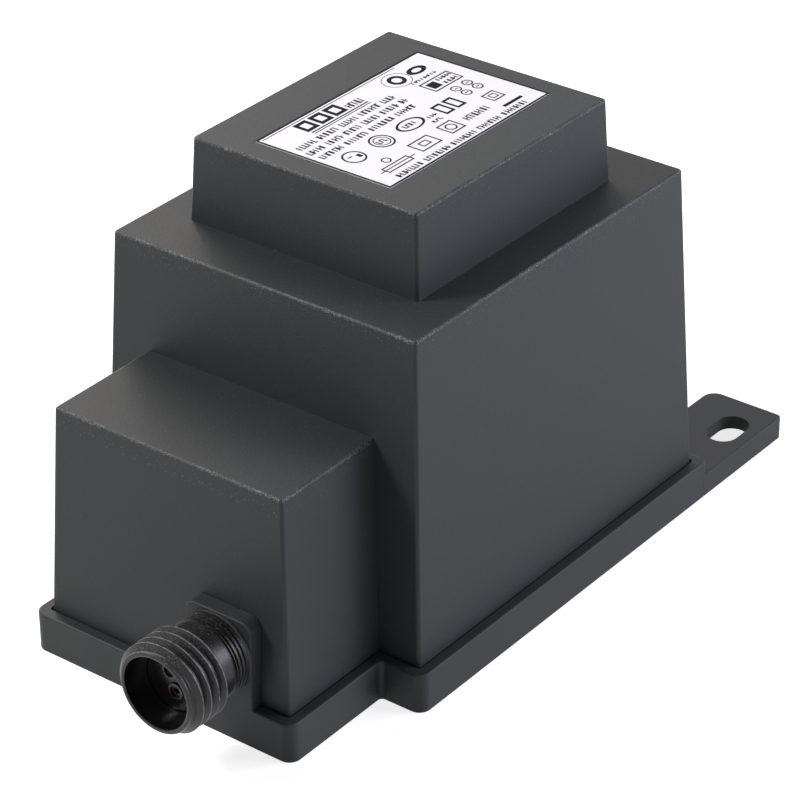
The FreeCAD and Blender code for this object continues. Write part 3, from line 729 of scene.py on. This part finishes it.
tray_shape = combine(tray_shape, "UNION", make_ear(-1), make_ear(1), make_saddle(),
                     *make_base_inside())
tray_shape = combine(tray_shape, "DIFFERENCE", to_front(rod(stem_hole_r, stem_back, 90.0)))
finish("base_tray", tray_shape, housing_plastic, "housing", "base")

# %% [markdown]
# ## The output socket
# The socket is a turned-looking moulding: a flange with fine rings against the saddle, a plain
# neck, a coarse thread for the plug's ring, and a thin lip round the opening. A spin draws it in
# one go from half of its section. The thread is a second spin, of the ridge's own section, that
# also moves forward at each step and so becomes a helix.

# %% Socket shell
saddle_face = -rim_front
nose, lip_length, lip_r = 18.799, 1.0, 8.9
root_r, thread_pitch, thread_length = 8.95, 2.3, 9.4
neck_r, flange_r, flange_end, seal_t = 8.3, 8.8, 4.7, 1.0
groove_depth, groove_pitch, groove_count = 0.42, 1.05, 3
bore_r, bore_depth = 7.85, 5.0
insert_r, insert_back = 6.8, 4.0
stem_r, stem_bore_r, stem_end = 6.0, 4.6, -13.56
turn_steps = 96


def spin_closed(section, steps=turn_steps):
    """Full turn of a closed section of (radius, height) points about the upright axis."""
    shape = bmesh.new()
    corners = [shape.verts.new((r, 0, z)) for r, z in section]
    edges = [shape.edges.new((a, b)) for a, b in zip(corners, corners[1:] + corners[:1])]
    bmesh.ops.spin(shape, geom=corners + edges, cent=(0, 0, 0), axis=(0, 0, 1), dvec=(0, 0, 0),
                   angle=2 * math.pi, steps=steps, use_merge=True)
    bmesh.ops.remove_doubles(shape, verts=shape.verts, dist=1e-4)
    bmesh.ops.recalc_face_normals(shape, faces=shape.faces)
    return shape


def push_out(shape, forward):
    """Stands a turned piece on the saddle's face."""
    bmesh.ops.translate(shape, vec=(0, 0, forward), verts=shape.verts)
    return to_front(shape)


def shell_section():
    """Half section of the shell: out along stem, flange and sleeve, back through the bore."""
    thread_start = nose - lip_length - thread_length
    groove_r = flange_r - groove_depth
    outer = [(stem_r, stem_end), (stem_r, seal_t), (flange_r, seal_t)]
    z = seal_t + 0.7
    for _ in range(groove_count):
        outer += [(flange_r, z), (groove_r, z + 0.18), (groove_r, z + 0.38), (flange_r, z + 0.56)]
        z += groove_pitch
    outer += [(flange_r, flange_end - 0.15), (neck_r + 0.05, flange_end),
              (neck_r, flange_end + 0.3), (neck_r, thread_start - 0.6),
              (root_r, thread_start), (root_r, nose - lip_length - 0.3),
              (lip_r - 0.25, nose - lip_length), (lip_r, nose - lip_length + 0.25),
              (lip_r, nose - 0.4), (lip_r - 0.15, nose - 0.1), (lip_r - 0.45, nose)]
    inner = [(bore_r + 0.3, nose), (bore_r + 0.05, nose - 0.15), (bore_r, nose - 0.4),
             (bore_r, nose - bore_depth), (insert_r, nose - bore_depth), (insert_r, insert_back),
             (stem_bore_r, insert_back), (stem_bore_r, stem_end)]
    return outer + inner


def make_thread():
    """Ridge of the thread, whose root sinks a little into the sleeve."""
    turns = 3.8
    steps = int(turns * 72)
    sunk_r, half_root = root_r - 0.15, 0.98
    shape = bmesh.new()
    section = [(sunk_r, -half_root), (crest_r - 0.03, -0.15), (crest_r, -0.10), (crest_r, 0.10),
               (crest_r - 0.03, 0.15), (sunk_r, half_root)]
    corners = [shape.verts.new((0, -r, z)) for r, z in section]
    edges = [shape.edges.new((a, b)) for a, b in zip(corners, corners[1:] + corners[:1])]
    bmesh.ops.spin(shape, geom=corners + edges, cent=(0, 0, 0), axis=(0, 0, 1),
                   dvec=(0, 0, thread_pitch * turns / steps), angle=2 * math.pi * turns,
                   steps=steps)
    open_edges = [e for e in shape.edges if e.is_boundary]
    bmesh.ops.holes_fill(shape, edges=open_edges, sides=len(section))
    bmesh.ops.recalc_face_normals(shape, faces=shape.faces)
    start = nose - lip_length - thread_length + 0.30
    bmesh.ops.translate(shape, vec=(0, 0, start), verts=shape.verts)
    return shape


shell_shape = combine(spin_closed(shell_section()), "UNION", make_thread())
finish("socket_shell_threaded", push_out(shell_shape, saddle_face), connector_plastic, "connector",
       "socket_shell")

# %% [markdown]
# ## Socket insert and seal
# Down in the bore an insulator carries the two contacts. Each contact hole has a raised collar.
# The rubber seal is a flat ring that the flange presses on the saddle, and its edge bulges a
# little.

# %% Insert and seal
contact_offset, contact_tilt = 2.2, math.radians(18.0)
contact_r, collar = 1.25, 0.65
contact_x = contact_offset * math.sin(contact_tilt)
contact_y = contact_offset * math.cos(contact_tilt)


def make_insert():
    face = nose - bore_depth
    body = rod(insert_r - 0.05, insert_back, face - 0.5)
    round_edges(body, edges_at(body, face - 0.5), 0.2, 2)
    collars, holes = [], []
    for sign in (-1, 1):
        ring = rod(contact_r + collar, face - 1.5, face, 40)
        round_edges(ring, edges_at(ring, face), 0.18, 2)
        hole = rod(contact_r, insert_back - 1, face + 1, 40)
        place = (sign * contact_x, -sign * contact_y, 0)
        for shape in (ring, hole):
            bmesh.ops.translate(shape, vec=place, verts=shape.verts)
        collars.append(ring)
        holes.append(hole)
    body = combine(body, "UNION", *collars)
    return combine(body, "DIFFERENCE", *holes)


finish("socket_insert_moulded", push_out(make_insert(), saddle_face), connector_plastic,
       "connector", "socket_insert")
seal_section = [(stem_r + 0.05, 0), (flange_r - 0.2, 0), (flange_r - 0.02, 0.25), (flange_r, 0.5),
                (flange_r - 0.02, 0.75), (flange_r - 0.2, seal_t), (stem_r + 0.05, seal_t)]
finish("socket_seal_ring", push_out(spin_closed(seal_section), saddle_face), rubber, "seal_rubber",
       "socket_seal")

# %% [markdown]
# ## The cable inlet
# The mains cable would enter at the back, through a gland: a hexagon to hold it with a spanner,
# a dome that tightens, and a rubber sleeve. The hexagon is a six-sided cone call,
# the dome is spun, and both meet at a small collar.

# %% Cable inlet
hex_across, hex_depth, dome_depth = 16.0, 5.0, 6.0
dome_r, mouth_r, sleeve_r, gland_stem_r, gland_stem_end = 7.4, 5.8, 4.8, 6.1, -8.46


def hexagon(across, z0, z1):
    """Upright hexagonal bar with softened corners and top."""
    shape = rod(across / math.sqrt(3), z0, z1, 6)
    bmesh.ops.rotate(shape, matrix=Matrix.Rotation(math.radians(30), 3, "Z"), verts=shape.verts)
    round_edges(shape, upright_edges(shape), 0.3, 2)
    round_edges(shape, edges_at(shape, z1), 0.4, 3)
    return shape


def make_gland():
    """Body of the inlet: a dome with its stem and open sleeve, in a hexagonal collar."""
    dome_top = hex_depth + dome_depth
    section = [(sleeve_r, gland_stem_end), (gland_stem_r, gland_stem_end), (gland_stem_r, 0),
               (dome_r, 0), (dome_r, hex_depth + 0.7), (dome_r - 0.35, hex_depth + 1.1),
               (dome_r - 0.4, dome_top - 2.6), (dome_r - 0.7, dome_top - 1.5),
               (mouth_r + 0.4, dome_top - 0.3), (mouth_r, dome_top), (sleeve_r, dome_top)]
    turned = spin_closed(section)
    collar_hex = hexagon(hex_across, 0, hex_depth)
    collar_hex = combine(collar_hex, "DIFFERENCE", rod(dome_r - 0.5, -1, hex_depth + 1))
    return combine(turned, "UNION", collar_hex)


def push_back(shape):
    """Stands a turned piece on the pad of the back wall."""
    bmesh.ops.translate(shape, vec=(0, 0, pad_face), verts=shape.verts)
    return to_back(shape)


finish("cable_inlet", push_back(make_gland()), connector_plastic, "connector", "gland_body")

# %% [markdown]
# ## The label
# The rating label is a white film with a thin black border, printed with plain generic rows of
# strokes, frames, rings and bars, laid out as such a label is. An image would blur close up,
# so the print is very thin raised pieces, which stay sharp at any distance.

# %% Label film
label_top = coil_top + 0.099
ink_t = 0.02


def make_label():
    film = block_at(label_x, label_y, label_width, label_length,
                    coil_top - label_recess, label_top - ink_t)
    round_edges(film, upright_edges(film), 0.15, 2)
    return film


finish("label_film_piece", make_label(), label_film, "label_paper", "label")

# %% [markdown]
# Each mark has its place as on paper, by how far along the rows and how far down the sheet it lies.
# Frames are four bars, rings are spun, and the small print is rows of strokes from a seeded random
# source, so that each run draws the same rows.

# %% Print on the label
def bar(parts, along, down, length, depth):
    """Printed bar: along the rows from the label's front end, down from its left edge."""
    y = label_y - label_length / 2 + along
    x = label_x - label_width / 2 + down
    parts.append(block(x, x + depth, y, y + length, label_top - ink_t * 1.5, label_top))


def frame_mark(parts, along, down, length, depth, line):
    """Printed frame of four bars."""
    bar(parts, along, down, length, line)
    bar(parts, along, down + depth - line, length, line)
    bar(parts, along, down + line, line, depth - 2 * line)
    bar(parts, along + length - line, down + line, line, depth - 2 * line)


def ring_mark(parts, along, down, radius, line, stretch=1.0):
    """Printed ring, or an oval where it is stretched along the rows."""
    low, high = label_top - ink_t * 1.5, label_top
    section = [(radius - line, low), (radius, low), (radius, high), (radius - line, high)]
    ring = spin_closed(section, 32)
    bmesh.ops.scale(ring, vec=(1, stretch, 1), verts=ring.verts)
    place = (label_x - label_width / 2 + down, label_y - label_length / 2 + along, 0)
    bmesh.ops.translate(ring, vec=place, verts=ring.verts)
    parts.append(ring)


def crossed_ring(parts, along, down, radius, line):
    """Printed ring with a short bar across its middle."""
    ring_mark(parts, along, down, radius, line)
    bar(parts, along - 0.5, down - 0.15, 1.0, 0.3)


def stroke_row(parts, along, down, length, depth, seed, words):
    """Row of upright strokes in groups, as generic small print."""
    pick = random.Random(seed)
    place = along
    count = 0
    while place < along + length:
        width = pick.choice((0.34, 0.38, 0.62))
        bar(parts, place, down, width, depth)
        if pick.random() < 0.55:
            bar(parts, place + width, down + depth * pick.choice((0.0, 0.42, 0.8)), 0.42, 0.32)
        place += width + 0.55
        count += 1
        if count % words == 0:
            place += 0.9


print("marks can be drawn")

# %% [markdown]
# The layout is a table. Each line names a kind of mark, how far along and how far down it lies,
# and its size: large frames as a heading, rows of strokes as small print, and rings and small
# frames between them. In a table the marks are easier to compare and to move than in one call for
# each.

# %% Layout of the print
marks = [
    (frame_mark, 0.0, 0.0, label_length, label_width, 0.50),
    (bar, 1.0, 0.95, 43.0, 0.22),
    (frame_mark, 9.6, 1.7, 3.8, 4.2, 0.95),
    (frame_mark, 14.2, 1.7, 3.8, 4.2, 0.95),
    (frame_mark, 18.8, 1.7, 3.8, 4.2, 0.95),
    (stroke_row, 23.4, 3.9, 5.0, 2.0, 21, 9),
    (bar, 9.8, 6.45, 18.2, 0.36),
    (bar, 9.8, 7.2, 18.2, 0.24),
    (stroke_row, 2.2, 8.4, 30.6, 1.7, 11, 6),
    (stroke_row, 1.7, 11.4, 31.6, 1.7, 12, 5),
    (stroke_row, 1.9, 14.4, 30.4, 1.6, 13, 7),
    (ring_mark, 6.3, 20.1, 2.6, 0.40),
    (bar, 5.0, 19.4, 1.2, 0.32),
    (bar, 7.0, 19.8, 1.0, 1.3),
    (ring_mark, 15.2, 20.1, 2.8, 0.40),
    (ring_mark, 15.2, 20.1, 1.9, 0.24),
    (stroke_row, 13.9, 19.4, 2.2, 1.4, 15, 9),
    (ring_mark, 24.7, 20.0, 2.3, 0.42, 1.7),
    (stroke_row, 22.6, 19.3, 3.8, 1.3, 22, 9),
    (stroke_row, 29.2, 20.6, 1.9, 1.0, 23, 9),
    (stroke_row, 28.2, 22.6, 2.4, 0.9, 24, 9),
    (frame_mark, 32.9, 18.6, 2.9, 4.6, 0.62),
    (frame_mark, 36.7, 18.6, 2.9, 4.6, 0.62),
    (ring_mark, 39.5, 5.2, 2.1, 0.95),
    (ring_mark, 39.5, 5.2, 3.2, 0.14, 1.1),
    (ring_mark, 45.9, 5.4, 1.6, 0.80, 1.7),
    (stroke_row, 39.9, 8.5, 7.6, 0.8, 14, 9),
    (frame_mark, 40.0, 10.4, 9.4, 4.7, 0.36),
    (bar, 41.0, 11.4, 2.6, 2.7),
    (stroke_row, 44.6, 11.2, 4.0, 1.1, 25, 9),
    (stroke_row, 44.6, 13.2, 4.0, 1.1, 26, 9),
    (crossed_ring, 43.6, 17.4, 1.25, 0.32),
    (crossed_ring, 43.6, 20.1, 1.25, 0.32),
    (crossed_ring, 47.4, 17.4, 1.25, 0.32),
    (crossed_ring, 47.4, 20.1, 1.25, 0.32),
    (frame_mark, 43.6, 23.6, 3.9, 3.6, 0.34),
    (frame_mark, 44.6, 24.5, 1.9, 1.8, 0.26),
    (bar, 42.7, 29.7, 6.2, 0.85),
    (stroke_row, 33.2, 26.5, 7.4, 1.9, 16, 9),
    (frame_mark, 16.4, 25.3, 6.4, 4.3, 0.36),
    (frame_mark, 18.3, 26.5, 2.6, 1.9, 0.32),
    (frame_mark, 26.4, 25.0, 4.6, 4.4, 0.36),
    (ring_mark, 28.7, 27.2, 1.35, 0.34),
    (ring_mark, 9.0, 26.0, 1.1, 0.32),
    (frame_mark, 5.0, 27.7, 8.0, 2.3, 0.32),
    (bar, 3.8, 28.7, 10.8, 0.26),
    (stroke_row, 4.7, 31.4, 43.8, 1.5, 17, 8),
]
ink_parts = []
for draw, *place in marks:
    draw(ink_parts, *place)
print(len(marks), "marks, drawn with", len(ink_parts), "bars and rings")

ink_shape = bmesh.new()
for part in ink_parts:
    mesh = bpy.data.meshes.new("part")
    part.to_mesh(mesh)
    part.free()
    ink_shape.from_mesh(mesh)
    bpy.data.meshes.remove(mesh)
finish("label_print", ink_shape, label_ink, "label_paper")

# %% [markdown]
# ## Finishes for the remaining solids
# These pieces are right as they were drawn, so they keep their meshes and only get a surface.
# A solid that a finer piece stands in for gets that piece's surface too, so that none is left bare.

# %% Dress the solids
finishes = {
    "core_e": lamination_steel, "core_i": lamination_steel, "core_screws": zinc, "coil_pins": zinc,
    "cover_screws": zinc, "socket_contacts": brass, "terminal_screws": brass, "bobbin": nylon,
    "thermal_cutout": nylon, "terminal_block": nylon, "primary_winding": primary_wire,
    "secondary_winding": secondary_wire, "primary_tape": tape, "secondary_tape": tape,
    "socket_nut": connector_plastic, "gland_nut": connector_plastic, "gland_seal": rubber,
    "primary_lead_live": lead_brown, "primary_lead_neutral": lead_blue,
    "secondary_lead_a": lead_black, "secondary_lead_b": lead_black,
    "base": housing_plastic, "cover": housing_plastic, "label": label_film,
    "socket_shell": connector_plastic, "socket_insert": connector_plastic, "socket_seal": rubber,
    "gland_body": connector_plastic,
}
for name, material in finishes.items():
    node = nodes[name]
    if not node.material_slots:
        node.data.materials.append(material)
    for slot in node.material_slots:
        slot.material = material
print("dressed", len(finishes), "solids; left over:", sorted(set(nodes) - set(finishes)))

# %% [markdown]
# ## Floor, lamps and surroundings
# The photograph has a plain white ground. A floor that is made white by strong lamps would wash
# out the housing, so the floor's own colour carries it: to the camera it adds a little light of
# its own, and its shadow stays. It lies a hair below the tray, so that the two faces never share
# one plane. Soft lamps at a plain level light the steps from the front left and from both sides
# at the back.

# %% Stage
def seen(recipe):
    """1 for a ray that shows the ground to the camera, straight or through a shine or glass."""
    camera_ray = recipe.node("ShaderNodeLightPath", output="Is Camera Ray")
    glossy_ray = recipe.node("ShaderNodeLightPath", output="Is Glossy Ray")
    clear_ray = recipe.node("ShaderNodeLightPath", output="Is Transmission Ray")
    return camera_ray + glossy_ray + clear_ray


def make_ground(name, own_light):
    ground = Recipe(name, Roughness=0.9, Specular_IOR_Level=0.1, Emission_Strength=1.0)
    cloud = ground.noise(0.5)
    return ground.feed(
        Base_Color=ground.mix(cloud, grey(0.66), grey(0.70)),
        Emission_Color=ground.mix(seen(ground), grey(0.0), grey(own_light)),
    )


def make_sky(name, own_light):
    sky = Recipe(name, "worlds", "Background", Strength=1.0)
    return sky.feed(Color=sky.mix(seen(sky), grey(own_light), grey(1.0)))


floor_shape = bmesh.new()
bmesh.ops.create_grid(floor_shape, x_segments=1, y_segments=1, size=6.0)
bmesh.ops.translate(floor_shape, vec=(0, 0, -0.1 * MM), verts=floor_shape.verts)
floor_mesh = bpy.data.meshes.new("floor")
floor_shape.to_mesh(floor_mesh)
floor_shape.free()
floor_mesh.materials.append(make_ground("ground", 0.80))
floor_plane = bpy.data.objects.new("floor", floor_mesh)
bpy.context.scene.collection.objects.link(floor_plane)
print("floor laid")

# %% [markdown]
# Broad area lamps give the soft shade of a studio's soft boxes, and each one looks at the tray's
# middle. Point lamps would be simpler, but their hard shadows would draw lines across the steps.
# The sky is white where the camera or a shine sees it, and almost dark as a source of light.

# %% Lamps and sky
def lamp(name, place, power, size, colour):
    """Square lamp of this size at this place, aimed at the tray's middle."""
    light = bpy.data.lights.new(name, "AREA")
    light.energy = power
    light.size = size
    light.color = colour
    made = bpy.data.objects.new(name, light)
    made.location = place
    made.rotation_mode = "QUATERNION"
    made.rotation_quaternion = Vector(place).to_track_quat("Z", "Y")
    bpy.context.scene.collection.objects.link(made)


lamp("lamp_key", (-0.62, -0.60, 0.85), 12.0, 0.35, (0.99, 1.0, 1.0))
lamp("lamp_left_back", (-0.95, 0.45, 0.70), 8.6, 0.6, (1.0, 0.90, 0.86))
lamp("lamp_right_back", (0.95, 0.75, 0.50), 12.6, 0.6, (0.80, 0.80, 1.0))
lamp("lamp_right", (1.15, 0.20, 0.40), 2.4, 0.6, (0.80, 0.80, 1.0))

bpy.context.scene.world = make_sky("sky", 0.02)

scene = bpy.context.scene
scene.view_settings.view_transform = "Standard"
